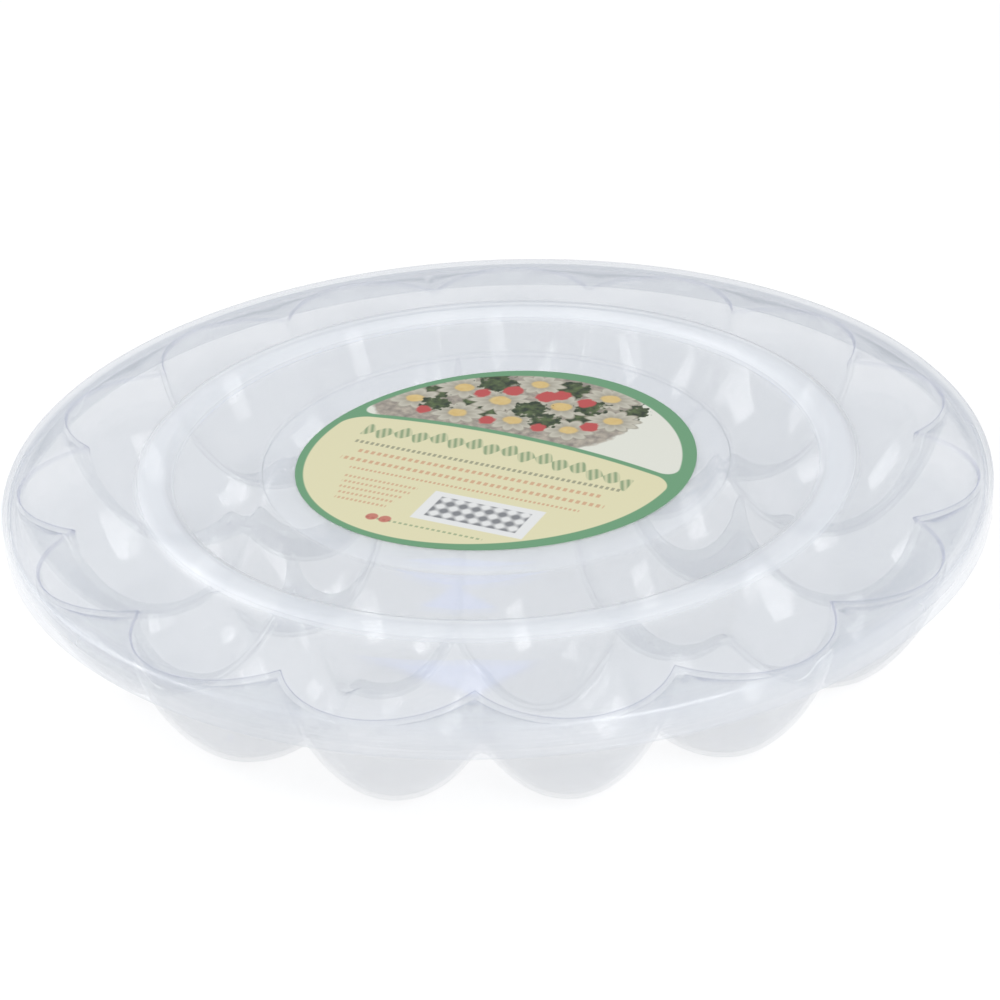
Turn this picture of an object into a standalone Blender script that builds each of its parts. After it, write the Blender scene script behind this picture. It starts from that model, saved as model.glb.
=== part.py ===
"""A deviled egg carrier: a clear moulded tray with two rings of egg-shaped wells, a clear
lid that presses over its rim, and a round printed label on the lid.

Metres, +Z up. The origin is under the middle of the tray, on the surface that its wells
stand on. The front of the carrier faces -Y. An angle round the carrier is counted from the
front, towards +X.
"""

import math

import bmesh
import bpy
from mathutils import Matrix, Vector

MM = 0.001

# The carrier as a whole
CLOSED_HEIGHT = 45.7 * MM  # table to the lid's flat rim
TURN_STEPS = 72  # facets round the tray and the lid
SEAT_GAP = 0.3 * MM  # between pieces that touch
OVERRUN = 3.0 * MM  # how far a cutter passes what it cuts

# Lid
LID_WALL = 1.6 * MM
SKIRT_DEPTH = 10.7 * MM
LID_EDGE_RADIUS = 2.4 * MM
LID_EDGE_FACETS = 3
RING_INNER_RADIUS = 103.5 * MM  # raised ring round the label
RING_OUTER_RADIUS = 115.8 * MM
RING_RISE = 2.9 * MM
DISC_RADIUS = 76.0 * MM  # raised disc under the label
DISC_RISE = 0.8 * MM
STEP_RUN = 2.0 * MM  # width of each sloping step

# The beads that hold the lid on the tray
BEAD_PROUD = 0.3 * MM
BEAD_HALF_HEIGHT = 0.7 * MM
TRAY_BEAD_LIFT = 1.3 * MM  # middle of the bead above the edge of the tray's lip

# Tray
TRAY_WALL = 1.5 * MM
LIP_DEPTH = 7.5 * MM

# Wells: egg shaped, their length along the tray's radius
OUTER_WELLS = 15
OUTER_RING_RADIUS = 113.5 * MM
OUTER_OUTWARD = 39.0 * MM
OUTER_INWARD = 39.0 * MM
OUTER_CROWDING = 1.335  # a well's width as a share of its part of the ring
RIM_LAND = 5.0 * MM  # from the outer wells' brims to the lid's edge
INNER_WELLS = 9
RING_SPACING = 43.5 * MM  # from the outer ring of wells in to the inner ring
INNER_OUTWARD = 31.0 * MM
INNER_INWARD = 31.0 * MM
INNER_CROWDING = 1.08
FIRST_WELL_ANGLE = math.radians(8.3)  # one outer and one inner well stand here, in line
FULL_DEPTH = 49.0 * MM  # of the whole well shape, before the floor cuts it flat
WELL_TAPER = 1.17  # 1 is a plain half ellipsoid, 2 a cone
WELL_SIDES = 16
WELL_BANDS = 5  # rings of facets from the brim to the lowest point
BISECT_REACH = 0.001 * MM

# Label
LABEL_RADIUS = 62.4 * MM
LABEL_OVAL = 2.0 * MM  # how much longer than round it is at each end
LABEL_TURN = math.radians(17.5)  # its length, from +X towards +Y
LABEL_BLUNT = 0.9 * MM  # how far three soft corners stand out
LABEL_BLUNT_TURN = math.radians(76.0)
LABEL_THICKNESS = 0.2 * MM
LABEL_SIDES = 96
LABEL_ASIDE = 0.7 * MM  # stuck on by hand, a little off the lid's middle
LABEL_FORWARD = 3.9 * MM

# Heights and radii that follow
LID_RADIUS = OUTER_RING_RADIUS + OUTER_OUTWARD + RIM_LAND
INNER_RING_RADIUS = OUTER_RING_RADIUS - RING_SPACING
OUTER_HALF_WIDTH = OUTER_RING_RADIUS * math.tan(math.pi / OUTER_WELLS) * OUTER_CROWDING
INNER_HALF_WIDTH = INNER_RING_RADIUS * math.tan(math.pi / INNER_WELLS) * INNER_CROWDING
LID_UNDERSIDE = CLOSED_HEIGHT - LID_WALL
TRAY_TOP = LID_UNDERSIDE - SEAT_GAP
SKIRT_BOTTOM = CLOSED_HEIGHT - SKIRT_DEPTH
SKIRT_INNER_RADIUS = LID_RADIUS - LID_WALL
TRAY_RADIUS = SKIRT_INNER_RADIUS - BEAD_PROUD - SEAT_GAP - BEAD_PROUD
LIP_BOTTOM = TRAY_TOP - LIP_DEPTH


def clear_scene():
    for obj in list(bpy.data.objects):
        bpy.data.objects.remove(obj, do_unlink=True)


def new_collection(name, parent=None):
    collection = bpy.data.collections.new(name)
    (parent or bpy.context.scene.collection).children.link(collection)
    return collection


def plain_material(name, color, roughness, transmission=0.0):
    material = bpy.data.materials.new(name)
    material.use_nodes = True
    shader = material.node_tree.nodes["Principled BSDF"]
    shader.inputs["Base Color"].default_value = (*color, 1.0)
    shader.inputs["Roughness"].default_value = roughness
    shader.inputs["Metallic"].default_value = 0.0
    shader.inputs["Transmission Weight"].default_value = transmission
    return material


def add_object(name, mesh, collection, material=None):
    obj = bpy.data.objects.new(name, mesh)
    collection.objects.link(obj)
    if material:
        mesh.materials.append(material)
    return obj


def turned(name, profile, collection, material):
    """A closed solid of revolution. The profile starts and ends on the Z axis, top first."""
    mesh = bpy.data.meshes.new(name)
    links = [(i, i + 1) for i in range(len(profile) - 1)]
    mesh.from_pydata([(radius, 0.0, height) for radius, height in profile], links, [])
    obj = add_object(name, mesh, collection, material)
    screw = obj.modifiers.new("turn", "SCREW")
    screw.steps = TURN_STEPS
    screw.render_steps = TURN_STEPS
    screw.use_merge_vertices = True
    screw.merge_threshold = 0.00001
    screw.use_smooth_shade = False
    return obj


def bead(radius, height, proud):
    """Three profile points of a bead, listed upwards. A negative proud points inwards."""
    return [
        (radius, height - BEAD_HALF_HEIGHT),
        (radius + proud, height),
        (radius, height + BEAD_HALF_HEIGHT),
    ]


def lid_face():
    """The lid's upper face from the axis outwards, as (radius, rise above the flat rim)."""
    return [
        (0.0, DISC_RISE),
        (DISC_RADIUS - STEP_RUN, DISC_RISE),
        (DISC_RADIUS, 0.0),
        (RING_INNER_RADIUS, 0.0),
        (RING_INNER_RADIUS + STEP_RUN, RING_RISE),
        (RING_OUTER_RADIUS - STEP_RUN, RING_RISE),
        (RING_OUTER_RADIUS, 0.0),
    ]


def make_lid(collection):
    upper = [(radius, CLOSED_HEIGHT + rise) for radius, rise in lid_face()]
    under = [(radius, LID_UNDERSIDE + rise) for radius, rise in reversed(lid_face())]
    edge = []
    for i in range(LID_EDGE_FACETS + 1):
        turn = math.pi / 2 * i / LID_EDGE_FACETS
        edge.append(
            (
                LID_RADIUS - LID_EDGE_RADIUS * (1 - math.sin(turn)),
                CLOSED_HEIGHT - LID_EDGE_RADIUS * (1 - math.cos(turn)),
            )
        )
    skirt = [(LID_RADIUS, SKIRT_BOTTOM), (SKIRT_INNER_RADIUS, SKIRT_BOTTOM)]
    inner = bead(SKIRT_INNER_RADIUS, SKIRT_BOTTOM + BEAD_HALF_HEIGHT * 2, -BEAD_PROUD)
    corner = [(SKIRT_INNER_RADIUS, LID_UNDERSIDE)]
    material = plain_material("clear_lid_plastic", (0.86, 0.90, 0.95), 0.08, 0.9)
    return turned("lid", upper + edge + skirt + inner + corner + under, collection, material)


def make_label(collection):
    material = plain_material("label_paper", (0.80, 0.76, 0.50), 0.45)
    mesh = bpy.data.meshes.new("label")
    body = bmesh.new()
    bmesh.ops.create_cone(
        body,
        cap_ends=True,
        segments=LABEL_SIDES,
        radius1=1.0,
        radius2=1.0,
        depth=LABEL_THICKNESS,
    )
    for vertex in body.verts:
        angle = math.atan2(vertex.co.y, vertex.co.x)
        reach = (
            LABEL_RADIUS
            + LABEL_OVAL * math.cos(2 * (angle - LABEL_TURN))
            + LABEL_BLUNT * math.cos(3 * (angle - LABEL_BLUNT_TURN))
        )
        vertex.co.xy *= reach
    body.to_mesh(mesh)
    body.free()
    obj = add_object("label", mesh, collection, material)
    middle = CLOSED_HEIGHT + DISC_RISE + SEAT_GAP + LABEL_THICKNESS / 2
    obj.location = (LABEL_ASIDE, -LABEL_FORWARD, middle)
    return obj


def egg_block(name, outward, inward, half_width, full_depth, top, floor):
    """A solid the shape of a well, brim plane at z = 0 and blunt end at +X.

    It is the lower half of a sphere, drawn in towards a cone, stretched more on one side
    than the other, and cut level at floor below the brim. A positive top carries it
    straight up past the brim, and a negative one cuts it off below the brim.
    """
    body = bmesh.new()
    bmesh.ops.create_uvsphere(
        body, u_segments=WELL_SIDES, v_segments=2 * WELL_BANDS, radius=1.0
    )
    for vert in body.verts:
        spread = vert.co.xy.length
        draw = spread ** (WELL_TAPER - 1) if spread > 0.0 else 0.0
        length = outward if vert.co.x > 0.0 else inward
        rise = math.copysign(abs(vert.co.z) ** WELL_TAPER, vert.co.z)
        vert.co = (
            vert.co.x * draw * length,
            vert.co.y * draw * half_width,
            rise * full_depth,
        )
    for level, upwards in ((min(top, 0.0), True), (-floor, False)):
        cut = bmesh.ops.bisect_plane(
            body,
            geom=body.verts[:] + body.edges[:] + body.faces[:],
            dist=BISECT_REACH,
            plane_co=(0.0, 0.0, level),
            plane_no=(0.0, 0.0, 1.0),
            clear_outer=upwards,
            clear_inner=not upwards,
        )
        rim = [e for e in cut["geom_cut"] if isinstance(e, bmesh.types.BMEdge)]
        caps = bmesh.ops.edgeloop_fill(body, edges=rim)["faces"]
        if upwards and top > 0.0:
            raised = bmesh.ops.extrude_face_region(body, geom=caps)["geom"]
            corners = [v for v in raised if isinstance(v, bmesh.types.BMVert)]
            bmesh.ops.translate(body, verts=corners, vec=(0.0, 0.0, top))
            bmesh.ops.delete(body, geom=caps, context="FACES_ONLY")
    bmesh.ops.recalc_face_normals(body, faces=body.faces[:])
    mesh = bpy.data.meshes.new(name)
    body.to_mesh(mesh)
    body.free()
    return mesh


def stand_round(name, mesh, count, ring_radius, collection):
    """Copies of a well block round the carrier, first well first."""
    for i in range(count):
        angle = FIRST_WELL_ANGLE + math.tau * i / count
        block = add_object(f"{name}_{i + 1:02d}", mesh, collection)
        place = Vector((ring_radius, 0.0, TRAY_TOP))
        turn = Matrix.Rotation(angle - math.pi / 2, 4, "Z")
        block.matrix_world = turn @ Matrix.Translation(place)
        block.hide_render = True
        block.display_type = "WIRE"


def add_boolean(obj, name, operation, collection):
    cut = obj.modifiers.new(name, "BOOLEAN")
    cut.operation = operation
    cut.operand_type = "COLLECTION"
    cut.collection = collection
    cut.solver = "EXACT"
    return cut


def make_tray(collection, cutters):
    """The lip and its flat rim, with the wells' walls added and their hollows cut out."""
    profile = [
        (0.0, TRAY_TOP),
        (TRAY_RADIUS, TRAY_TOP),
        *reversed(bead(TRAY_RADIUS, LIP_BOTTOM + TRAY_BEAD_LIFT, BEAD_PROUD)),
        (TRAY_RADIUS, LIP_BOTTOM),
        (TRAY_RADIUS - TRAY_WALL, LIP_BOTTOM),
        (TRAY_RADIUS - TRAY_WALL, TRAY_TOP - TRAY_WALL),
        (0.0, TRAY_TOP - TRAY_WALL),
    ]
    material = plain_material("clear_tray_plastic", (0.85, 0.88, 0.92), 0.10, 0.9)
    tray = turned("tray", profile, collection, material)
    walls = new_collection("well_walls", cutters)
    hollows = new_collection("well_hollows", cutters)
    rings = (
        (
            "outer",
            OUTER_WELLS,
            OUTER_RING_RADIUS,
            OUTER_OUTWARD,
            OUTER_INWARD,
            OUTER_HALF_WIDTH,
        ),
        (
            "inner",
            INNER_WELLS,
            INNER_RING_RADIUS,
            INNER_OUTWARD,
            INNER_INWARD,
            INNER_HALF_WIDTH,
        ),
    )
    for name, count, ring_radius, outward, inward, half_width in rings:
        wall = egg_block(
            f"{name}_wall",
            outward + TRAY_WALL,
            inward + TRAY_WALL,
            half_width + TRAY_WALL,
            FULL_DEPTH + TRAY_WALL,
            -TRAY_WALL / 2,
            TRAY_TOP,
        )
        hollow = egg_block(
            f"{name}_hollow",
            outward,
            inward,
            half_width,
            FULL_DEPTH,
            OVERRUN,
            TRAY_TOP - TRAY_WALL,
        )
        stand_round(f"{name}_wall", wall, count, ring_radius, walls)
        stand_round(f"{name}_hollow", hollow, count, ring_radius, hollows)
    add_boolean(tray, "add_walls", "UNION", walls)
    add_boolean(tray, "cut_hollows", "DIFFERENCE", hollows)
    return tray


def main():
    clear_scene()
    carrier = new_collection("deviled_egg_carrier")
    cutters = new_collection("cutters")
    make_tray(carrier, cutters)
    make_lid(carrier)
    make_label(carrier)


main()
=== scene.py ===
"""Looks of a clear deviled egg carrier: its tray, its lid and the printed label.

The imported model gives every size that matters. The tray and the lid are dressed as finely
rounded clear mouldings in the place of the plain ones, and the label gets its print.
"""

import logging
import math
from dataclasses import dataclass
from enum import Enum

import bpy
import numpy as np
from mathutils import Matrix, Vector

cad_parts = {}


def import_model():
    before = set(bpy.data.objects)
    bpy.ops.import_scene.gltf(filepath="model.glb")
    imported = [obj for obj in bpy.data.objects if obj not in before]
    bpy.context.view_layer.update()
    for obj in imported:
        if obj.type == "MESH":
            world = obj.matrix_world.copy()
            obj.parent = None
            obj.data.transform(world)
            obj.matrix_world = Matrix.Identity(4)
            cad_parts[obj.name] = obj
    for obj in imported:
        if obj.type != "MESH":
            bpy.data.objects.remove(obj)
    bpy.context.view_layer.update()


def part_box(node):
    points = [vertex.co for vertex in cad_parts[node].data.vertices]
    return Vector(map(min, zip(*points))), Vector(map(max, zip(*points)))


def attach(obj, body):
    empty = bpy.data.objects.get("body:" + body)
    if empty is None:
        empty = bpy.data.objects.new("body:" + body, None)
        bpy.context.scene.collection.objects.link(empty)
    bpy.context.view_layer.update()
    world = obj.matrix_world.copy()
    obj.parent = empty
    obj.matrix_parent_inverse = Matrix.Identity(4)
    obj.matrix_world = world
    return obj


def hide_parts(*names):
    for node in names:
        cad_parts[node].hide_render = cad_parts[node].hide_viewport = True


LOG = logging.getLogger("egg_carrier")
MM = 0.001
Colour = tuple[float, float, float]


class Body(Enum):
    """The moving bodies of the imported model."""

    TRAY = "tray"
    LID = "lid"


class Wire:
    """One value or colour in a node tree. Arithmetic on it adds Math nodes."""

    def __init__(self, tree: "Tree", socket: bpy.types.NodeSocket) -> None:
        """Wraps an output socket of a node in that tree."""
        self.tree = tree
        self.socket = socket

    def math(self, operation: str, *others: "Wire | float", clamp: bool = False) -> "Wire":
        """Adds one Math node.

        Args:
            operation: the node's operation.
            others: the values after this one.
            clamp: whether the result is kept between 0 and 1.

        Returns:
            The node's result.
        """
        settings = {"operation": operation, "use_clamp": clamp}
        return self.tree.node("ShaderNodeMath", settings, {0: self, **dict(enumerate(others, 1))})

    def __add__(self, other: "Wire | float") -> "Wire":
        """Sum."""
        return self.math("ADD", other)

    def __mul__(self, other: "Wire | float") -> "Wire":
        """Product."""
        return self.math("MULTIPLY", other)

    def __sub__(self, other: "Wire | float") -> "Wire":
        """Difference."""
        return self.math("SUBTRACT", other)

    def __rsub__(self, other: float) -> "Wire":
        """A number less this value."""
        return self.tree.node("ShaderNodeMath", {"operation": "SUBTRACT"}, {0: other, 1: self})

    def __truediv__(self, other: "Wire | float") -> "Wire":
        """Quotient."""
        return self.math("DIVIDE", other)

    def __pow__(self, other: float) -> "Wire":
        """Power."""
        return self.math("POWER", other)

    def most(self, other: "Wire | float") -> "Wire":
        """The larger of the two."""
        return self.math("MAXIMUM", other)

    def within(self, edge: float, blur: float) -> "Wire":
        """1 where the value is below edge and 0 above it, over a soft step blur wide."""
        return ((edge - self) / blur).math("ADD", 0.5, clamp=True)

    def clamped(self) -> "Wire":
        """The value kept between 0 and 1."""
        return self.math("ADD", 0.0, clamp=True)


class Tree:
    """The node tree of one material."""

    def __init__(self, material: bpy.types.Material) -> None:
        """Empties the material's tree and gives it an output node."""
        material.use_nodes = True
        self.nodes = material.node_tree.nodes
        self.links = material.node_tree.links
        self.nodes.clear()
        self.output = self.nodes.new("ShaderNodeOutputMaterial")

    def node(
        self,
        kind: str,
        settings: dict[str, object] | None = None,
        inputs: dict[int | str, object] | None = None,
        output: int | str = 0,
    ) -> Wire:
        """Adds one node.

        Args:
            kind: the node's type.
            settings: its properties, set first.
            inputs: a value or a Wire for each input, by number or name.
            output: which output is wanted.

        Returns:
            That output.
        """
        made = self.nodes.new(kind)
        for name, value in (settings or {}).items():
            setattr(made, name, value)
        for name, value in (inputs or {}).items():
            if isinstance(value, Wire):
                self.links.new(value.socket, made.inputs[name])
            else:
                made.inputs[name].default_value = value
        return Wire(self, made.outputs[output])

    def mix_colour(self, share: Wire | float, first: object, second: object) -> Wire:
        """Goes from the first colour to the second as share goes from 0 to 1."""
        ends = [end if isinstance(end, Wire) else (*end, 1.0) for end in (first, second)]
        inputs = {0: share, 6: ends[0], 7: ends[1]}
        return self.node("ShaderNodeMix", {"data_type": "RGBA"}, inputs, 2)

    def noise(self, place: Wire, scale: float, detail: float) -> Wire:
        """Noise from 0 to 1 at a place, with its scale for each metre."""
        inputs = {"Vector": place, "Scale": scale, "Detail": detail}
        return self.node("ShaderNodeTexNoise", None, inputs)

    def finish(self, shader: Wire) -> None:
        """Links a shader to the material's surface."""
        self.links.new(shader.socket, self.output.inputs["Surface"])


def linear(red: float, green: float, blue: float) -> Colour:
    """A colour on the 0 to 255 screen scale as linear light."""
    shares = [value / 255 for value in (red, green, blue)]
    return tuple(s / 12.92 if s <= 0.04045 else ((s + 0.055) / 1.055) ** 2.4 for s in shares)


@dataclass(frozen=True)
class ClearPlastic:
    """Thin clear moulded plastic: see-through face on, milky where it is seen along.

    The mesh may carry point attributes from 0 to 1. The first is painted light: where it is 1
    the haze takes that layer's own strength and colour. On the tray it paints a dark violet
    line along the brim where the brim is seen along, a painted shade in the place of the
    dark line that the bent clear edge shows. On the lid it paints a lighter milky haze on the
    raised ring and the disc, a painted reflection of the bright surroundings. Where clear
    is 1 the haze is thinned face on and rises sooner along, as on a skirt. Where satin is
    1 the gloss is soft.
    """

    name: str
    face_colour: Colour
    edge_colour: Colour
    face_haze: float
    edge_haze: float
    edge_power: float
    painted_light_colour: Colour
    painted_light_face_haze: float
    painted_light_edge_haze: float
    painted_light_power: float
    roughness: float = 0.025
    satin_roughness: float = 0.42
    clear_share: float = 0.8
    clear_power: float = 2.5
    ripple_size: float = 22.0
    ripple_depth: float = 0.05
    cloud_size: float = 9.0
    cloud_share: float = 0.35
    bump_distance: float = 0.004

    def build(self) -> bpy.types.Material:
        """Makes the material.

        The haze rises from face_haze to edge_haze with a power of the facing angle, and
        its colour goes from face_colour to edge_colour. A gloss by Schlick's law, which is
        0.04 + 0.96 facing^5, lies over it. Slow noise bends the gloss and thins the haze a
        little from place to place, as moulding does.

        Returns:
            The material.
        """
        material = bpy.data.materials.new(self.name)
        tree = Tree(material)
        place = tree.node("ShaderNodeTexCoord", output="Object")
        ripple = tree.noise(place, self.ripple_size, 2.0)
        cloud = tree.noise(place, self.cloud_size, 3.0)
        normal = tree.node(
            "ShaderNodeBump",
            None,
            {
                "Height": ripple,
                "Strength": self.ripple_depth,
                "Distance": self.bump_distance,
            },
        )
        facing = tree.node(
            "ShaderNodeLayerWeight", None, {"Blend": 0.5, "Normal": normal}, "Facing"
        )
        painted_light, clear, satin = (
            tree.node("ShaderNodeAttribute", {"attribute_name": layer}, output="Fac")
            for layer in ("painted_light", "clear", "satin")
        )
        power = clear * (self.clear_power - self.edge_power) + self.edge_power
        along = facing.math("POWER", power)
        uneven = (cloud - 0.5) * self.cloud_share + 1.0
        thinned = (1.0 - clear * self.clear_share) * self.face_haze
        haze = (along * (self.edge_haze - self.face_haze) + thinned) * uneven
        # Painted light: the haze and colour of the painted brim line and the painted ring and disc
        # reflection.
        painted_light_haze = (
            facing**self.painted_light_power * (self.painted_light_edge_haze - self.painted_light_face_haze)
            + self.painted_light_face_haze
        )
        haze = haze + painted_light * (painted_light_haze - haze)
        tint = tree.mix_colour(along, self.face_colour, self.edge_colour)
        body = tree.node(
            "ShaderNodeBsdfPrincipled",
            None,
            {
                "Base Color": tree.mix_colour(painted_light, tint, self.painted_light_colour),
                "Roughness": 0.5,
                "Specular IOR Level": 0.0,
                "Alpha": haze,
                "Normal": normal,
            },
        )
        gloss = tree.node(
            "ShaderNodeBsdfGlossy",
            None,
            {
                "Color": (1.0, 1.0, 1.0, 1.0),
                "Roughness": satin * (self.satin_roughness - self.roughness) + self.roughness,
                "Normal": normal,
            },
        )
        mirror = facing**5.0 * 0.96 + 0.04
        tree.finish(tree.node("ShaderNodeMixShader", None, {0: mirror, 1: body, 2: gloss}))
        return material


@dataclass(frozen=True)
class Bloom:
    """A daisy in the label's picture: its middle, its radius, its petals and its turn."""

    x: float
    y: float
    radius: float
    petals: int
    turn: float
    squash: float = 1.25
    eye: float = 0.36


@dataclass(frozen=True)
class LabelPrint:
    """The print of the oval label, in millimetres in the label's own frame.

    A green border round a cream field, with daisies, leaves and berries on a mottled
    ground above a green sweep, and plain ruled ornament and a checked panel below it. The
    print is turned a little on the lid, as a label put on by hand is.
    """

    middle_x: float
    middle_y: float
    turn: float = math.radians(-27.0)
    blur: float = 0.45
    field_radius: float = 58.7
    field_oval: float = 2.0
    field_turn: float = math.radians(44.0)
    field_blunt: float = 0.9
    field_blunt_turn: float = math.radians(111.0)
    field_right: float = -0.2
    field_up: float = -1.1
    corner: float = 6.0
    sweep_bend: float = 0.0021
    sweep_slope: float = 0.03
    sweep_up: float = 14.2
    garland_up: float = 3.4
    grain_size: float = 420.0
    sheen_size: float = 60.0
    green: Colour = linear(112, 162, 122)
    deep_green: Colour = linear(96, 140, 98)
    cream: Colour = linear(230, 224, 184)
    pale: Colour = linear(232, 232, 220)
    petal: Colour = linear(228, 224, 208)
    shade: Colour = linear(168, 162, 146)
    yolk: Colour = linear(212, 176, 104)
    yolk_light: Colour = linear(232, 208, 148)
    leaf: Colour = linear(46, 58, 42)
    leaf_light: Colour = linear(98, 114, 72)
    red: Colour = linear(196, 84, 82)
    rust: Colour = linear(206, 132, 96)
    ink: Colour = linear(92, 100, 86)
    ground: Colour = linear(196, 186, 170)
    ground_dark: Colour = linear(140, 132, 124)
    blooms: tuple[Bloom, ...] = (
        Bloom(-43.0, 27.0, 9.0, 9, 0.4),
        Bloom(-31.0, 40.0, 9.5, 11, 0.1),
        Bloom(-25.0, 22.5, 9.0, 10, 0.7),
        Bloom(-15.5, 35.5, 10.5, 12, 0.2),
        Bloom(-8.0, 51.0, 8.5, 10, 0.5),
        Bloom(-5.5, 24.0, 9.0, 11, 0.9),
        Bloom(5.5, 38.5, 10.0, 10, 0.3),
        Bloom(14.5, 24.0, 8.5, 9, 0.6),
        Bloom(18.5, 49.5, 9.5, 12, 0.0),
        Bloom(25.5, 35.0, 9.0, 11, 0.8),
    )
    sprigs: tuple[tuple[float, float, float], ...] = (
        (-38.0, 34.0, 6.0),
        (-34.5, 26.5, 5.0),
        (-23.0, 31.0, 5.5),
        (-22.0, 47.0, 6.5),
        (-15.5, 26.0, 4.5),
        (-3.5, 33.0, 5.5),
        (4.0, 50.5, 6.5),
        (5.0, 27.0, 5.0),
        (15.5, 34.0, 5.5),
        (15.0, 41.5, 5.0),
        (30.0, 43.5, 4.5),
    )
    berries: tuple[tuple[float, float, float], ...] = (
        (-36.5, 20.5, 2.6),
        (-23.5, 38.5, 3.0),
        (-14.5, 43.5, 3.4),
        (-13.5, 21.0, 2.8),
        (-2.0, 43.5, 3.8),
        (2.0, 46.0, 3.4),
        (12.0, 44.0, 3.2),
        (20.0, 28.5, 3.0),
        (4.5, 22.0, 2.6),
    )

    def daisy(self, x: Wire, y: Wire, bloom: Bloom) -> Wire:
        """How far out a point lies in a daisy: 1 on the outline of its petals.

        The outline's radius is r (0.7 + 0.3 |cos(n (a + turn) / 2)|) at the angle a, for n
        petals and a radius r.
        """
        right, above = x - bloom.x, (y - bloom.y) * bloom.squash
        angle = above.math("ARCTAN2", right) + bloom.turn
        lobe = (angle * (bloom.petals / 2)).math("COSINE").math("ABSOLUTE")
        return (right * right + above * above) ** 0.5 / ((lobe * 0.3 + 0.7) * bloom.radius)

    def disc(self, x: Wire, y: Wire, across: float, up: float, radius: float) -> Wire:
        """1 inside a circle and 0 outside it."""
        return self.away(x, y, across, up).within(radius, self.blur)

    def away(self, x: Wire, y: Wire, across: float, up: float) -> Wire:
        """The distance from a point of the label."""
        right, above = x - across, y - up
        return (right * right + above * above) ** 0.5

    def panel(self, x: Wire, y: Wire, low: tuple[float, float], high: tuple[float, float]) -> Wire:
        """1 inside an upright rectangle and 0 outside it."""
        middle_x, middle_y = (low[0] + high[0]) / 2, (low[1] + high[1]) / 2
        wide = (x - middle_x).math("ABSOLUTE").within((high[0] - low[0]) / 2, self.blur)
        tall = (y - middle_y).math("ABSOLUTE").within((high[1] - low[1]) / 2, self.blur)
        return wide * tall

    def rule(
        self, x: Wire, y: Wire, low: tuple[float, float], high: tuple[float, float], pitch: float
    ) -> Wire:
        """A row of short dashes inside an upright rectangle."""
        wave = (x / pitch + y * 0.07).math("SINE")
        return self.panel(x, y, low, high) * (wave * 1.2 + 0.75).clamped()

    def clump(
        self, x: Wire, y: Wire, across: float, up: float, radius: float, ragged: Wire
    ) -> Wire:
        """1 inside a clump of leaves with a ragged edge and 0 outside it."""
        return (self.away(x, y, across, up) + ragged * 2.6).within(radius, 1.1)

    def picture(self, tree: Tree, x: Wire, y: Wire, place: Wire) -> Wire:
        """Daisies with leaves and berries on a mottled ground, which ends to the right."""
        grain = tree.noise(place, self.grain_size, 4.0)
        ragged = (grain - 0.5) * 5.0
        spread = (self.away(x / 1.3, y, -14.0 / 1.3, 36.0) + ragged * 0.6).within(36.0, 1.2)
        mottle = tree.mix_colour((grain - 0.3) * 2.5, self.ground, self.ground_dark)
        colour = tree.mix_colour(spread, self.pale, mottle)
        leaves = tree.mix_colour((grain - 0.35) * 3.0, self.leaf, self.leaf_light)
        eye = tree.mix_colour(grain, self.yolk, self.yolk_light)
        for left, up, radius in self.sprigs[::2]:
            clump = self.clump(x, y, left, up, radius, ragged)
            colour = tree.mix_colour(clump, colour, leaves)
        for bloom in self.blooms:
            out = self.daisy(x, y, bloom)
            petals = tree.mix_colour((out - 0.35) * 0.9, self.shade, self.petal)
            colour = tree.mix_colour((out - 0.1).within(1.0, 0.1), colour, self.shade)
            colour = tree.mix_colour(out.within(1.0, 0.12), colour, petals)
            centre = self.away(x, (y - bloom.y) * bloom.squash, bloom.x, 0.0) + ragged * 0.3
            colour = tree.mix_colour(centre.within(bloom.radius * bloom.eye, 0.9), colour, eye)
        for left, up, radius in self.sprigs[1::2]:
            clump = self.clump(x, y, left, up, radius, ragged)
            colour = tree.mix_colour(clump, colour, leaves)
        for left, up, radius in self.berries:
            berry = (self.away(x, y, left, up) + ragged * 0.5).within(radius, 0.8)
            colour = tree.mix_colour(berry, colour, self.red)
        return colour

    def field(self, x: Wire, y: Wire) -> Wire:
        """How far a point lies outside the field that the border runs round.

        The field's outline has the radius r + a cos(2 (t - t1)) + b cos(3 (t - t2)) at the
        angle t, as the label's own outline has.
        """
        right, above = x - self.field_right, y - self.field_up
        angle = above.math("ARCTAN2", right)
        oval = ((angle - self.field_turn) * 2.0).math("COSINE") * self.field_oval
        blunt = ((angle - self.field_blunt_turn) * 3.0).math("COSINE") * self.field_blunt
        return (right * right + above * above) ** 0.5 - oval - blunt - self.field_radius

    def inside(self, field: Wire, side: Wire) -> Wire:
        """1 where both distances are below 0, with the corner between them rounded."""
        first = (field + self.corner).most(0.0)
        second = (side + self.corner).most(0.0)
        return ((first * first + second * second) ** 0.5).within(self.corner, self.blur)

    def build(self) -> bpy.types.Material:
        """Makes the material.

        Returns:
            The material.
        """
        material = bpy.data.materials.new("label_print")
        tree = Tree(material)
        place = tree.node("ShaderNodeTexCoord", output="Object")
        split = tree.node("ShaderNodeSeparateXYZ", None, {0: place})
        across = split * 1000.0 - self.middle_x
        up = Wire(tree, split.socket.node.outputs[1]) * 1000.0 - self.middle_y
        cos, sin = math.cos(self.turn), math.sin(self.turn)
        x, y = across * cos + up * sin, up * cos - across * sin

        field = self.field(x, y)
        sweep = x * x * -self.sweep_bend - x * self.sweep_slope + self.sweep_up
        lower = self.inside(field, y - sweep + 1.1)
        upper = self.inside(field, sweep + 1.1 - y)

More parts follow.
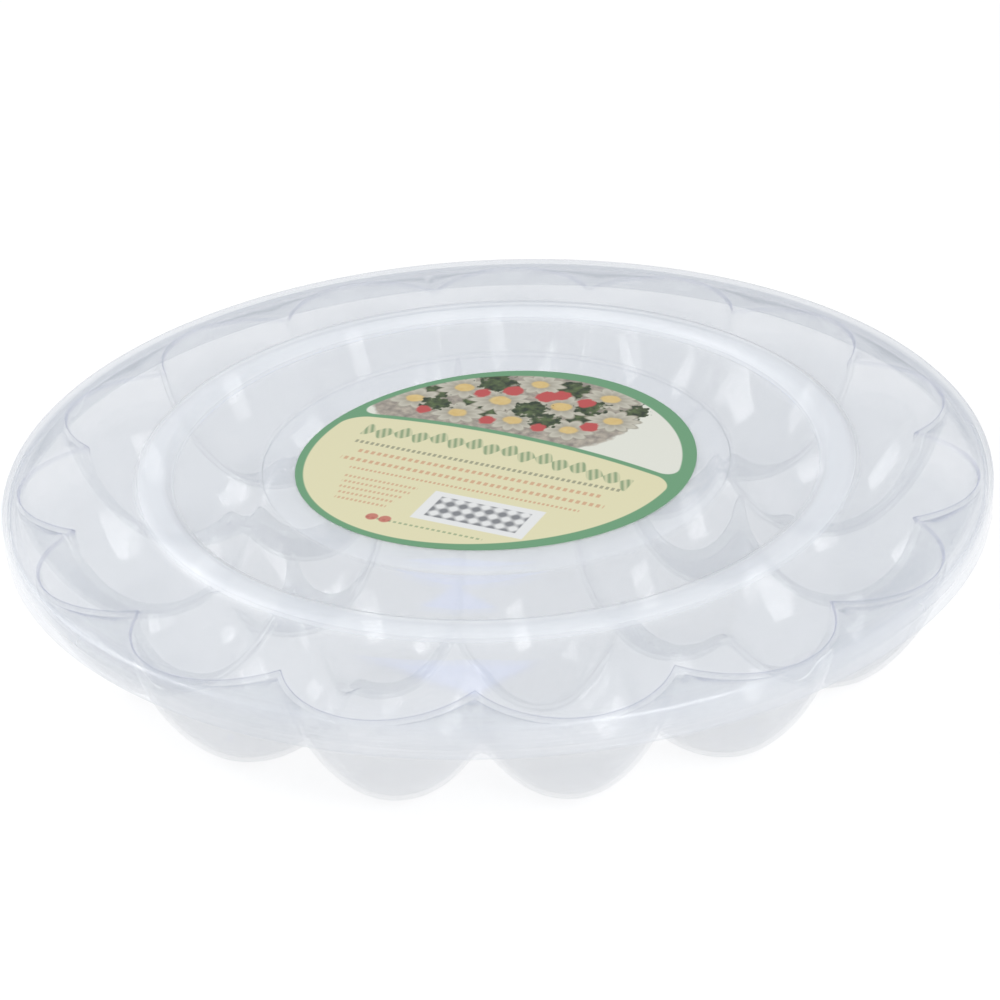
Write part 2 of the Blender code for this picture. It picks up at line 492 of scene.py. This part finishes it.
        leaf = (x * 0.5).math("SINE")
        arch = x * x * self.sweep_bend
        stem = y - self.garland_up + arch + x * self.sweep_slope - leaf * 0.8
        garland = (stem.math("ABSOLUTE") - (leaf.math("ABSOLUTE") * 3.6 + 0.2)).within(0.0, 0.8)
        veins = ((x * 2.9 + y * 1.3).math("SINE") * 0.5 + 0.5) * 0.55 + 0.2
        garland = garland * veins * x.math("ABSOLUTE").within(48.0, self.blur)
        cream = tree.mix_colour(garland, self.cream, self.deep_green)
        for half, low, high, pitch, ink in (
            (47.0, -8.4, -6.6, 0.30, self.ink),
            (43.0, -14.2, -12.2, 0.36, self.rust),
            (46.0, -20.0, -18.0, 0.36, self.rust),
            (40.0, -24.8, -23.6, 0.24, self.rust),
            (20.0, -51.6, -50.6, 0.3, self.deep_green),
        ):
            row = self.rule(x, y, (-half, low), (half, high), pitch)
            cream = tree.mix_colour(row * 0.6, cream, ink)
        for step in range(5):
            low = -29.0 - 3.4 * step
            row = self.rule(x, y, (-39.0 + step, low - 1.3), (-13.0 - step, low), 0.24)
            cream = tree.mix_colour(row * 0.55, cream, self.rust)
        cream = tree.mix_colour(
            self.panel(x, y, (-7.0, -46.5), (31.0, -28.5)), cream, linear(236, 236, 234)
        )
        checks = (x * 1.4).math("SINE") * 0.5 + (y * 1.4).math("SINE") * 0.5 + 0.5
        checks = checks.clamped() * 0.85
        checks = checks * self.panel(x, y, (-3.5, -43.8), (27.5, -31.2))
        cream = tree.mix_colour(checks, cream, linear(104, 106, 112))
        for across_berry in (-18.0, -13.5):
            berry = self.disc(x, y, across_berry, -50.5, 2.0)
            cream = tree.mix_colour(berry * 0.8, cream, self.red)
        colour = tree.mix_colour(lower, self.green, cream)
        colour = tree.mix_colour(upper, colour, self.picture(tree, x, y, place))
        sheen = tree.noise(place, self.sheen_size, 3.0)
        tree.finish(
            tree.node(
                "ShaderNodeBsdfPrincipled",
                None,
                {
                    "Base Color": colour,
                    "Roughness": sheen * 0.1 + 0.36,
                    "Specular IOR Level": 0.4,
                },
            )
        )
        return material


def grid_mesh(
    name: str,
    rows: np.ndarray,
    first_pole: Vector,
    last_pole: Vector,
    layers: dict[str, np.ndarray],
) -> bpy.types.Mesh:
    """A closed surface from rings of points.

    Ring i of the array goes once round the Z axis, and each ring is joined to the next by
    four-sided faces. A fan of triangles closes the first and the last ring to its pole.

    Args:
        name: the mesh's name.
        rows: points, shaped (rings, points in a ring, 3).
        first_pole: the point inside the first ring.
        last_pole: the point inside the last ring.
        layers: the point attributes by name, each with a value for each ring or point.

    Returns:
        The mesh, smooth shaded, with its faces pointing out.
    """
    rings, around = rows.shape[:2]
    points = np.concatenate([rows.reshape(-1, 3), [first_pole], [last_pole]])
    column = np.arange(around)
    after = np.roll(column, -1)
    ring = np.arange(rings - 1)[:, None] * around
    here, beyond = ring + column, ring + after
    quads = np.stack([here, here + around, beyond + around, beyond], -1)
    start, end = rings * around, rings * around + 1
    last = (rings - 1) * around
    first_fan = np.stack([np.full(around, start), column, after], -1)
    last_fan = np.stack([last + column, np.full(around, end), last + after], -1)
    loops = np.concatenate([quads.reshape(-1), first_fan.reshape(-1), last_fan.reshape(-1)])
    sizes = np.concatenate([np.full(quads.size // 4, 4), np.full(2 * around, 3)])
    mesh = bpy.data.meshes.new(name)
    mesh.vertices.add(len(points))
    mesh.vertices.foreach_set("co", points.astype(np.float32).ravel())
    mesh.loops.add(len(loops))
    mesh.loops.foreach_set("vertex_index", loops.astype(np.int32))
    mesh.polygons.add(len(sizes))
    starts = np.concatenate([[0], np.cumsum(sizes)[:-1]])
    mesh.polygons.foreach_set("loop_start", starts.astype(np.int32))
    mesh.polygons.foreach_set("loop_total", sizes.astype(np.int32))
    mesh.update(calc_edges=True)
    mesh.validate()
    mesh.shade_smooth()
    for layer, given in layers.items():
        strength = np.broadcast_to(given.reshape(rings, -1), (rings, around)).ravel()
        values = np.concatenate([strength, strength[[0, -1]]])
        attribute = mesh.attributes.new(layer, "FLOAT", "POINT")
        attribute.data.foreach_set("value", values.astype(np.float32))
    return mesh


def rounded(corners: list[tuple[float, float, float]], facets: int = 5) -> np.ndarray:
    """A profile with each corner replaced by an arc.

    Args:
        corners: radius from the axis, height, and how far from the corner its arc starts.
        facets: straight pieces in each arc.

    Returns:
        The profile's points, shaped (points, 2). Each arc is the quadratic curve whose
        middle control point is the corner.
    """
    points = [np.array(corner[:2]) for corner in corners]
    made = [points[0]]
    t = np.linspace(0.0, 1.0, facets + 1)[:, None]
    for before, corner, after, cut in zip(points, points[1:], points[2:], corners[1:-1]):
        into, out = corner - before, after - corner
        reach = min(cut[2], np.linalg.norm(into) / 2, np.linalg.norm(out) / 2)
        start = corner - into / np.linalg.norm(into) * reach
        end = corner + out / np.linalg.norm(out) * reach
        made.extend((1 - t) ** 2 * start + 2 * t * (1 - t) * corner + t**2 * end)
    made.append(points[-1])
    return np.array(made)


def subdivided(profile: np.ndarray, longest: float) -> np.ndarray:
    """The profile with points added so that no stretch is longer than longest."""
    made = [profile[:1]]
    for start, end in zip(profile, profile[1:]):
        pieces = max(1, math.ceil(np.linalg.norm(end - start) / longest))
        t = np.linspace(0.0, 1.0, pieces + 1)[1:, None]
        made.append(start + (end - start) * t)
    return np.concatenate(made)


def placed(data: bpy.types.ID) -> bpy.types.Object:
    """An object for a mesh, lamp or camera, under the same name, put in the scene."""
    made = bpy.data.objects.new(data.name, data)
    bpy.context.scene.collection.objects.link(made)
    return made


def add_piece(
    mesh: bpy.types.Mesh, material: bpy.types.Material, body: Body, *nodes: str
) -> bpy.types.Object:
    """Puts a finished mesh in the scene, riding on a body in the place of CAD nodes.

    Args:
        mesh: the piece's mesh, which also gives its name.
        material: its only material.
        body: the body that it rides on.
        nodes: the CAD nodes that it stands in for.

    Returns:
        The new object.
    """
    piece = placed(mesh)
    mesh.materials.append(material)
    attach(piece, body.value)
    if nodes:
        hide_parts(*nodes)
    LOG.info("%s: %d faces on %s", piece.name, len(mesh.polygons), body.value)
    return piece


@dataclass(frozen=True)
class WellRing:
    """One ring of egg-shaped wells. The lengths are of the hollow at its brim."""

    count: int
    radius: float
    outward: float
    inward: float
    half_width: float

    def local(self, angle: np.ndarray, radius: np.ndarray, wall: float) -> np.ndarray:
        """How far out each point lies in the well nearest to it in angle.

        The measure is 0 at the well's middle and 1 at its brim, by the formula
        sqrt((u / length)^2 + (v / half width)^2), where u runs outwards along the
        carrier's radius and v across it.
        """
        across = radius * np.sin(angle)
        out = radius * np.cos(angle) - self.radius
        length = np.where(out > 0, self.outward, self.inward) + wall
        return np.hypot(out / length, across / (self.half_width + wall))

    def brim(self, angle: np.ndarray, wall: float, outer_side: bool) -> np.ndarray:
        """The brim's radius from the carrier's axis, at an angle from the well's own.

        It solves the well's ellipse for the radius, on its outer or its inner side.
        """
        length = (self.outward if outer_side else self.inward) + wall
        a = np.cos(angle) ** 2 / length**2 + np.sin(angle) ** 2 / (self.half_width + wall) ** 2
        b = -2 * self.radius * np.cos(angle) / length**2
        c = self.radius**2 / length**2 - 1
        root = np.sqrt(np.maximum(b * b - 4 * a * c, 0))
        return (-b + (root if outer_side else -root)) / (2 * a)


@dataclass
class Tray:
    """The clear tray: wells sunk from a flat rim with a turned-down lip."""

    first_angle: float = math.radians(8.3)
    outer: WellRing = WellRing(15, 113.5 * MM, 39.0 * MM, 39.0 * MM, 32.207 * MM)
    inner: WellRing = WellRing(9, 70.0 * MM, 31.0 * MM, 31.0 * MM, 27.516 * MM)
    full_depth: float = 49.0 * MM
    taper: float = 1.17
    wall: float = 1.5 * MM
    brim_round: float = 1.0 * MM
    ridge_round: float = 3.6 * MM
    floor_round: float = 1.6 * MM
    corner_round: float = 0.7 * MM
    around: int = 480
    clear_run: float = 9.0 * MM
    clear_top: float = 0.8
    hollow_rings: int = 92
    underside_rings: int = 56
    lip_radius: float = 155.0 * MM
    lip_drop: float = 7.5 * MM
    bead_out: float = 0.3 * MM
    bead_up: float = 1.3 * MM
    bead_half: float = 0.7 * MM

    def __post_init__(self) -> None:
        """Reads the tray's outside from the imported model."""
        low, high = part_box("tray")
        self.top = high.z
        self.lip_bottom = self.top - self.lip_drop
        self.bottom = low.z

    def angles(self) -> np.ndarray:
        """The angles round the carrier, from the front towards +X, first well first."""
        return self.first_angle + np.arange(self.around) / self.around * math.tau

    def from_well(self, ring: WellRing) -> np.ndarray:
        """Each angle round the carrier as an angle from the nearest well of the ring."""
        pitch = math.tau / ring.count
        angle = self.angles() - self.first_angle
        return (angle + pitch / 2) % pitch - pitch / 2

    def depth(self, radius: np.ndarray, wall: float) -> np.ndarray:
        """How deep the wells' surface lies below the brim.

        Each well is a half egg: depth = D (1 - m^(2/t))^(t/2), where m is the well's own
        measure and t the taper. Where wells run into each other the deepest counts, with
        the ridge between them rounded by a soft maximum, and a soft minimum lays the floor.

        Args:
            radius: distances from the axis, one row for each ring of points.
            wall: 0 for the hollow, the wall for the underside.

        Returns:
            The depth at each point.
        """
        full = self.full_depth + wall
        found = []
        for ring in (self.outer, self.inner):
            pitch = math.tau / ring.count
            for step in (-1, 0, 1):
                measure = ring.local(self.from_well(ring) + step * pitch, radius, wall)
                inside = np.clip(1 - np.minimum(measure, 1.0) ** (2 / self.taper), 0, 1)
                found.append(full * inside ** (self.taper / 2))
        depths = np.array(found)
        deepest = depths.max(0)
        soft = np.exp((depths - deepest) / self.ridge_round).sum(0)
        soft -= (depths <= 0).sum(0) * np.exp(-deepest / self.ridge_round)
        deepest = deepest + self.ridge_round * np.log(np.maximum(soft, 1.0))
        floor = self.top - self.bottom - self.wall + wall
        over = np.exp(-(floor - deepest) / self.floor_round)
        return deepest - self.floor_round * np.log1p(over)

    def surface(self, wall: float, most: float, count: int) -> tuple[np.ndarray, np.ndarray]:
        """Radius and height of the rings over the wells, from the inner brim outwards."""
        inner = self.inner.brim(self.from_well(self.inner), wall, outer_side=False)
        outer = self.outer.brim(self.from_well(self.outer), wall, outer_side=True)
        outer = np.minimum(outer, most)
        t = np.linspace(-1.0, 1.0, count)[:, None]
        share = 0.5 + 0.5 * np.sign(t) * (1 - (1 - np.abs(t)) ** 1.6)
        radius = inner + (outer - inner) * share
        return radius, self.depth(radius, wall)

    def mesh(self) -> bpy.types.Mesh:
        """The whole tray as rings: centre, wells, rim, lip, and back along the underside."""
        angle = self.angles()
        f = self.brim_round
        radius, depth = self.surface(0.0, self.lip_radius, self.hollow_rings)
        depth = np.maximum(depth, f)
        bend = np.linspace(0, math.pi / 2, 6)[:, None]
        rows: list[tuple[np.ndarray, np.ndarray]] = []
        painted_light_rows: list[np.ndarray] = []

        def add(at: np.ndarray, height: np.ndarray, painted_light: float = 0.0) -> None:
            """Adds rings with a radius and a height for each angle, and their share of painted
            light.
            """
            at, height = np.broadcast_arrays(at + 0 * angle, height + 0 * angle)
            rows.append((at, height))
            painted_light_rows.append(np.full(len(at), painted_light))

        centre = np.linspace(0.15, 1.0, 6)[:, None]
        add((radius[0] - f) * centre, np.full((6, 1), self.top))
        add(radius[0] - f + f * np.sin(bend[1:-1]), self.top - f * (1 - np.cos(bend[1:-1])))
        add(radius, self.top - depth)
        # Painted shade: the hollow's last ring starts the dark violet painted brim line.
        painted_light_rows[-1][-1] = 0.6
        back = bend[::-1][1:-1]
        # Painted shade: the brim's bend carries the full dark violet painted line.
        add(radius[-1] + f - f * np.sin(back), self.top - f * (1 - np.cos(back)), 1.0)
        c = self.corner_round
        edge = self.lip_radius - c
        out = np.linspace(0.0, 1.0, 4)[:, None]
        add(radius[-1] + f + (edge - radius[-1] - f) * out, np.full((4, 1), self.top))
        # Painted shade: a weak share of the painted line on the lip's outer corner.
        add(edge + c * np.sin(bend[1:]), self.top - c * (1 - np.cos(bend[1:])), 0.3)
        bead = self.bead_out * np.cos(np.linspace(-math.pi / 2, math.pi / 2, 7))[:, None]
        bead_height = self.bead_up + np.linspace(self.bead_half, -self.bead_half, 7)[:, None]
        add(self.lip_radius + bead, self.lip_bottom + bead_height)
        foot = np.array([[0.0, 0.3], [0.3, 0.0], [1.2, 0.0], [1.5, 0.3]]) * MM
        add(self.lip_radius - foot[:, :1], self.lip_bottom + foot[:, 1:])
        inside = self.lip_radius - self.wall
        radius, depth = self.surface(self.wall, inside - 0.02 * MM, self.underside_rings)
        depth = np.maximum(depth, self.wall)
        up = np.linspace(0.0, 1.0, 5)[1:-1, None]
        start = self.lip_bottom + 0.3 * MM
        stop = np.minimum(self.top - depth[-1], self.top - self.wall)
        add(inside, start + (stop - start) * up)
        add(inside + (radius[-1] - inside) * np.array([[0.0], [0.5]]), stop)
        add(radius[::-1], self.top - depth[::-1])
        add(radius[0] * centre[::-1][1:], np.full((5, 1), self.top - self.wall))
        at = np.concatenate([row[0] for row in rows])
        height = np.concatenate([row[1] for row in rows])
        points = np.stack([at * np.sin(angle), -at * np.cos(angle), height], -1)
        clear = np.clip((height - self.lip_bottom) / self.clear_run + 1.0, 0.0, 1.0)
        inward = np.clip((self.outer.radius - at) / self.clear_run, 0.0, 1.0)
        below = np.arange(len(at))[:, None] >= len(at) - self.underside_rings - 5
        clear = np.maximum(clear, inward * below)
        return grid_mesh(
            "tray_shell",
            points,
            Vector((0, 0, self.top)),
            Vector((0, 0, self.top - self.wall)),
            {"painted_light": np.concatenate(painted_light_rows), "clear": clear * self.clear_top},
        )

    def dress(self) -> None:
        """Adds the tray in the place of its CAD node."""
        plastic = ClearPlastic(
            "tray_clear",
            face_colour=linear(194, 202, 213),
            edge_colour=linear(222, 226, 238),
            face_haze=0.11,
            edge_haze=0.24,
            edge_power=7.0,
            # Painted shade: a dark violet painted line that turns opaque where the brim is seen
            # along.
            painted_light_colour=linear(100, 100, 190),
            painted_light_face_haze=0.14,
            painted_light_edge_haze=1.0,
            painted_light_power=2.4,
        )
        add_piece(self.mesh(), plastic.build(), Body.TRAY, "tray")


@dataclass
class Lid:
    """The clear lid: a raised disc and ring on a flat face, a rounded edge and a skirt."""

    wall: float = 1.6 * MM
    disc_radius: float = 76.0 * MM
    disc_rise: float = 0.8 * MM
    ring_inner: float = 103.5 * MM
    ring_outer: float = 115.8 * MM
    ring_rise: float = 2.9 * MM
    step_run: float = 2.6 * MM
    edge_radius: float = 2.4 * MM
    hub: float = 2.0 * MM
    disc_cut: float = 1.4 * MM
    ring_cut: float = 1.9 * MM
    bead_in: float = 0.3 * MM
    bead_up: float = 1.4 * MM
    bead_half: float = 0.7 * MM
    bead_cut: float = 0.2 * MM
    longest: float = 8.0 * MM
    around: int = 360

    def __post_init__(self) -> None:
        """Reads the lid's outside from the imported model."""
        low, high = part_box("lid")
        self.radius = high.x
        self.top = high.z - self.ring_rise
        self.bottom = low.z

    def profile(self) -> np.ndarray:
        """Radius and height from the axis over the face, round the edge and back below."""
        face = [
            (self.disc_radius - 2.0 * MM, self.disc_rise, self.disc_cut),
            (self.disc_radius, 0.0, self.disc_cut),
            (self.ring_inner, 0.0, self.ring_cut),
            (self.ring_inner + self.step_run, self.ring_rise, self.ring_cut),
            (self.ring_outer - self.step_run, self.ring_rise, self.ring_cut),
            (self.ring_outer, 0.0, self.ring_cut),
        ]
        inner = self.radius - self.wall
        under = self.top - self.wall
        bead = self.bottom + self.bead_up
        corners = [
            (self.hub, self.top + self.disc_rise, 0.0),
            *((r, self.top + z, cut) for r, z, cut in face),
            (self.radius, self.top, self.edge_radius),
            (self.radius, self.bottom, 0.6 * MM),
            (inner, self.bottom, 0.5 * MM),
            (inner, bead - self.bead_half, self.bead_cut),
            (inner - self.bead_in, bead, self.bead_cut),
            (inner, bead + self.bead_half, self.bead_cut),
            (inner, under, 1.0 * MM),
            *((r, under + z, cut) for r, z, cut in reversed(face)),
            (self.hub, under + self.disc_rise, 0.0),
        ]
        return subdivided(rounded(corners), self.longest)

    def mesh(self) -> bpy.types.Mesh:
        """The profile turned once round the axis."""
        profile = self.profile()
        turn = np.arange(self.around) / self.around * math.tau
        radius, height = profile[:, :1], profile[:, 1:]
        out = profile[:, 0]
        ring = (out > self.ring_inner) & (out < self.ring_outer)
        ring_top = ring & (out < self.ring_outer - 0.5 * self.step_run)
        disc = out < self.disc_radius
        rim = (out > self.radius - 2 * self.edge_radius) & (profile[:, 1] > self.top - 3.5 * MM)
        skirt = (out > self.radius - 2 * self.wall) & (profile[:, 1] < self.top - 3.0 * MM)
        points = np.stack(
            [radius * np.sin(turn), -radius * np.cos(turn), height + 0 * turn], -1
        )
        return grid_mesh(
            "lid_shell",
            points,
            Vector((0, 0, profile[0, 1])),
            Vector((0, 0, profile[-1, 1])),
            {
                # Painted reflection: a lighter milky haze on the ring's flat top, and half of it
                # on the disc.
                "painted_light": ring_top * 1.0 + disc * 0.5,
                "clear": skirt * 0.45,
                "satin": (ring | rim) * 1.0,
            },
        )

    def dress(self) -> None:
        """Adds the lid in the place of its CAD node."""
        plastic = ClearPlastic(
            "lid_clear",
            face_colour=linear(226, 232, 241),
            edge_colour=linear(232, 236, 246),
            face_haze=0.18,
            edge_haze=0.5,
            edge_power=5.0,
            # Painted reflection: the lighter milky haze on the ring and the disc.
            painted_light_colour=linear(242, 246, 252),
            painted_light_face_haze=0.36,
            painted_light_edge_haze=0.5,
            painted_light_power=5.0,
            ripple_depth=0.01,
        )
        add_piece(self.mesh(), plastic.build(), Body.LID, "lid")


def dress_label() -> None:
    """Gives the CAD label its print, centred on the node."""
    low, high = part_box("label")
    middle = (low + high) / 2 / MM
    label = bpy.data.objects["label"]
    for slot in label.material_slots:
        slot.material = LabelPrint(middle.x, middle.y).build()
    LOG.info("label: print on the CAD node")


@dataclass(frozen=True)
class Studio:
    """A white table under soft light, and the camera at the photograph's place."""

    elevation: float = math.radians(28.698)
    roll: float = math.radians(-2.6817)
    lid_radii_away: float = 5.3216
    focal_pixels: float = 2610.7
    aim_x_pixel: float = 495.73
    aim_y_pixel: float = 453.81
    picture_pixels: float = 1000.0
    sensor_mm: float = 36.0
    grey_world: float = 0.5
    lamp_distance: float = 1.6

    def camera(self, lid_radius: float, lid_top: float) -> None:
        """Places the camera so that the lid's middle falls on the aim pixel."""
        forward = Vector((0.0, math.cos(self.elevation), -math.sin(self.elevation)))
        across = Vector((1.0, 0.0, 0.0))
        above = across.cross(forward)
        right = math.cos(self.roll) * across + math.sin(self.roll) * above
        up = -math.sin(self.roll) * across + math.cos(self.roll) * above
        away = self.lid_radii_away * lid_radius
        scale = away / self.focal_pixels
        middle = self.picture_pixels / 2
        place = (
            -forward * away
            - right * (self.aim_x_pixel - middle) * scale
            + up * (self.aim_y_pixel - middle) * scale
            + Vector((0.0, 0.0, lid_top))
        )
        data = bpy.data.cameras.new("camera")
        data.sensor_width = self.sensor_mm
        data.lens = self.focal_pixels * self.sensor_mm / self.picture_pixels
        data.clip_start = 0.05
        camera = placed(data)
        turn = Matrix((right, up, -forward)).transposed()
        camera.matrix_world = Matrix.Translation(place) @ turn.to_4x4()
        bpy.context.scene.camera = camera

    def table(self, half_side: float = 6.0) -> None:
        """A white table top that shows as near white and keeps a soft shadow."""
        corners = [(-half_side, -half_side), (half_side, -half_side), (half_side, half_side)]
        corners.append((-half_side, half_side))
        mesh = bpy.data.meshes.new("table")
        mesh.from_pydata([(x, y, -0.0002) for x, y in corners], [], [(0, 1, 2, 3)])
        table = placed(mesh)
        material = bpy.data.materials.new("white_table")
        tree = Tree(material)
        plain = tree.node("ShaderNodeBsdfDiffuse", None, {"Color": (0.8, 0.8, 0.8, 1.0)})
        glow = tree.node("ShaderNodeEmission", None, {"Color": (1, 1, 1, 1), "Strength": 0.78})
        half = tree.node("ShaderNodeBsdfDiffuse", None, {"Color": (0.3, 0.3, 0.3, 1.0)})
        bright = tree.node("ShaderNodeAddShader", None, {0: glow, 1: half})
        path = tree.node("ShaderNodeLightPath", output="Is Camera Ray")
        rays = path.socket.node.outputs
        seen = path.most(Wire(tree, rays["Is Glossy Ray"])).most(
            Wire(tree, rays["Is Transmission Ray"])
        )
        tree.finish(tree.node("ShaderNodeMixShader", None, {0: seen, 1: plain, 2: bright}))
        mesh.materials.append(material)

    def lamp(
        self, name: str, turn: float, height: float, size: tuple[float, float], glow: float
    ) -> None:
        """A rectangular soft box that faces the carrier. Its power follows from its glow.

        Args:
            name: the lamp's name.
            turn: degrees round the carrier from the front towards +X.
            height: degrees above the table.
            size: width and height in metres.
            glow: how bright its face is, where 1 is white.
        """
        turn, height = math.radians(turn), math.radians(height)
        flat = math.cos(height) * self.lamp_distance
        up = math.sin(height) * self.lamp_distance
        place = Vector((flat * math.sin(turn), -flat * math.cos(turn), up))
        data = bpy.data.lights.new(name, "AREA")
        data.shape = "RECTANGLE"
        data.size, data.size_y = size
        data.energy = glow * size[0] * size[1] * math.pi
        lamp = placed(data)
        lamp.location = place
        lamp.rotation_euler = (-place).to_track_quat("-Z", "Y").to_euler()

    def panel(
        self, name: str, colour: Colour, corners: tuple[tuple[float, float], ...], away: float
    ) -> None:
        """A dim upright panel behind the carrier, which shows only as a gleam in the lid.

        Args:
            name: the panel's name.
            colour: the light it sends out, where 1 is white.
            corners: across and up in metres, one after the other round the panel.
            away: how far behind the carrier's middle it stands, in metres.
        """
        mesh = bpy.data.meshes.new(name)
        mesh.from_pydata([(x, away, z) for x, z in corners], [], [tuple(range(len(corners)))])
        panel = placed(mesh)
        material = bpy.data.materials.new(name)
        tree = Tree(material)
        tree.finish(tree.node("ShaderNodeEmission", None, {"Color": (*colour, 1.0)}))
        mesh.materials.append(material)

    def light(self) -> None:
        """A grey room with two raised soft boxes, to the left and to the right, and a dim pane
        behind.
        """
        world = bpy.data.worlds.new("grey_room")
        bpy.context.scene.world = world
        world.use_nodes = True
        background = world.node_tree.nodes["Background"]
        background.inputs["Color"].default_value = (0.93, 0.96, 1.0, 1.0)
        background.inputs["Strength"].default_value = self.grey_world
        self.lamp("right_box", 34.0, 36.0, (0.8, 0.95), 5.0)
        self.lamp("left_box", -97.0, 35.0, (0.8, 0.85), 5.0)
        pane = ((-0.031, 0.978), (-0.148, 0.924), (-0.044, 0.860), (0.057, 0.925))
        self.panel("blue_pane", (0.3, 0.47, 1.25), pane, 1.3)
        frame = tuple((x, z + 0.006) for x, z in pane)
        self.panel("pane_frame", (0.0, 0.0, 0.2), frame, 1.302)

    def dress(self, lid: Lid) -> None:
        """Camera, table, light and the plain view transform."""
        self.camera(lid.radius, lid.top)
        self.table()
        self.light()
        scene = bpy.context.scene
        scene.view_settings.view_transform = "Standard"
        scene.cycles.transparent_max_bounces = 48


def main() -> None:
    """Builds the carrier's pieces, then the studio."""
    logging.basicConfig(level=logging.INFO, format="%(name)s %(message)s")
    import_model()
    Tray().dress()
    lid = Lid()
    lid.dress()
    dress_label()
    Studio().dress(lid)


if __name__ == "__main__":
    main()
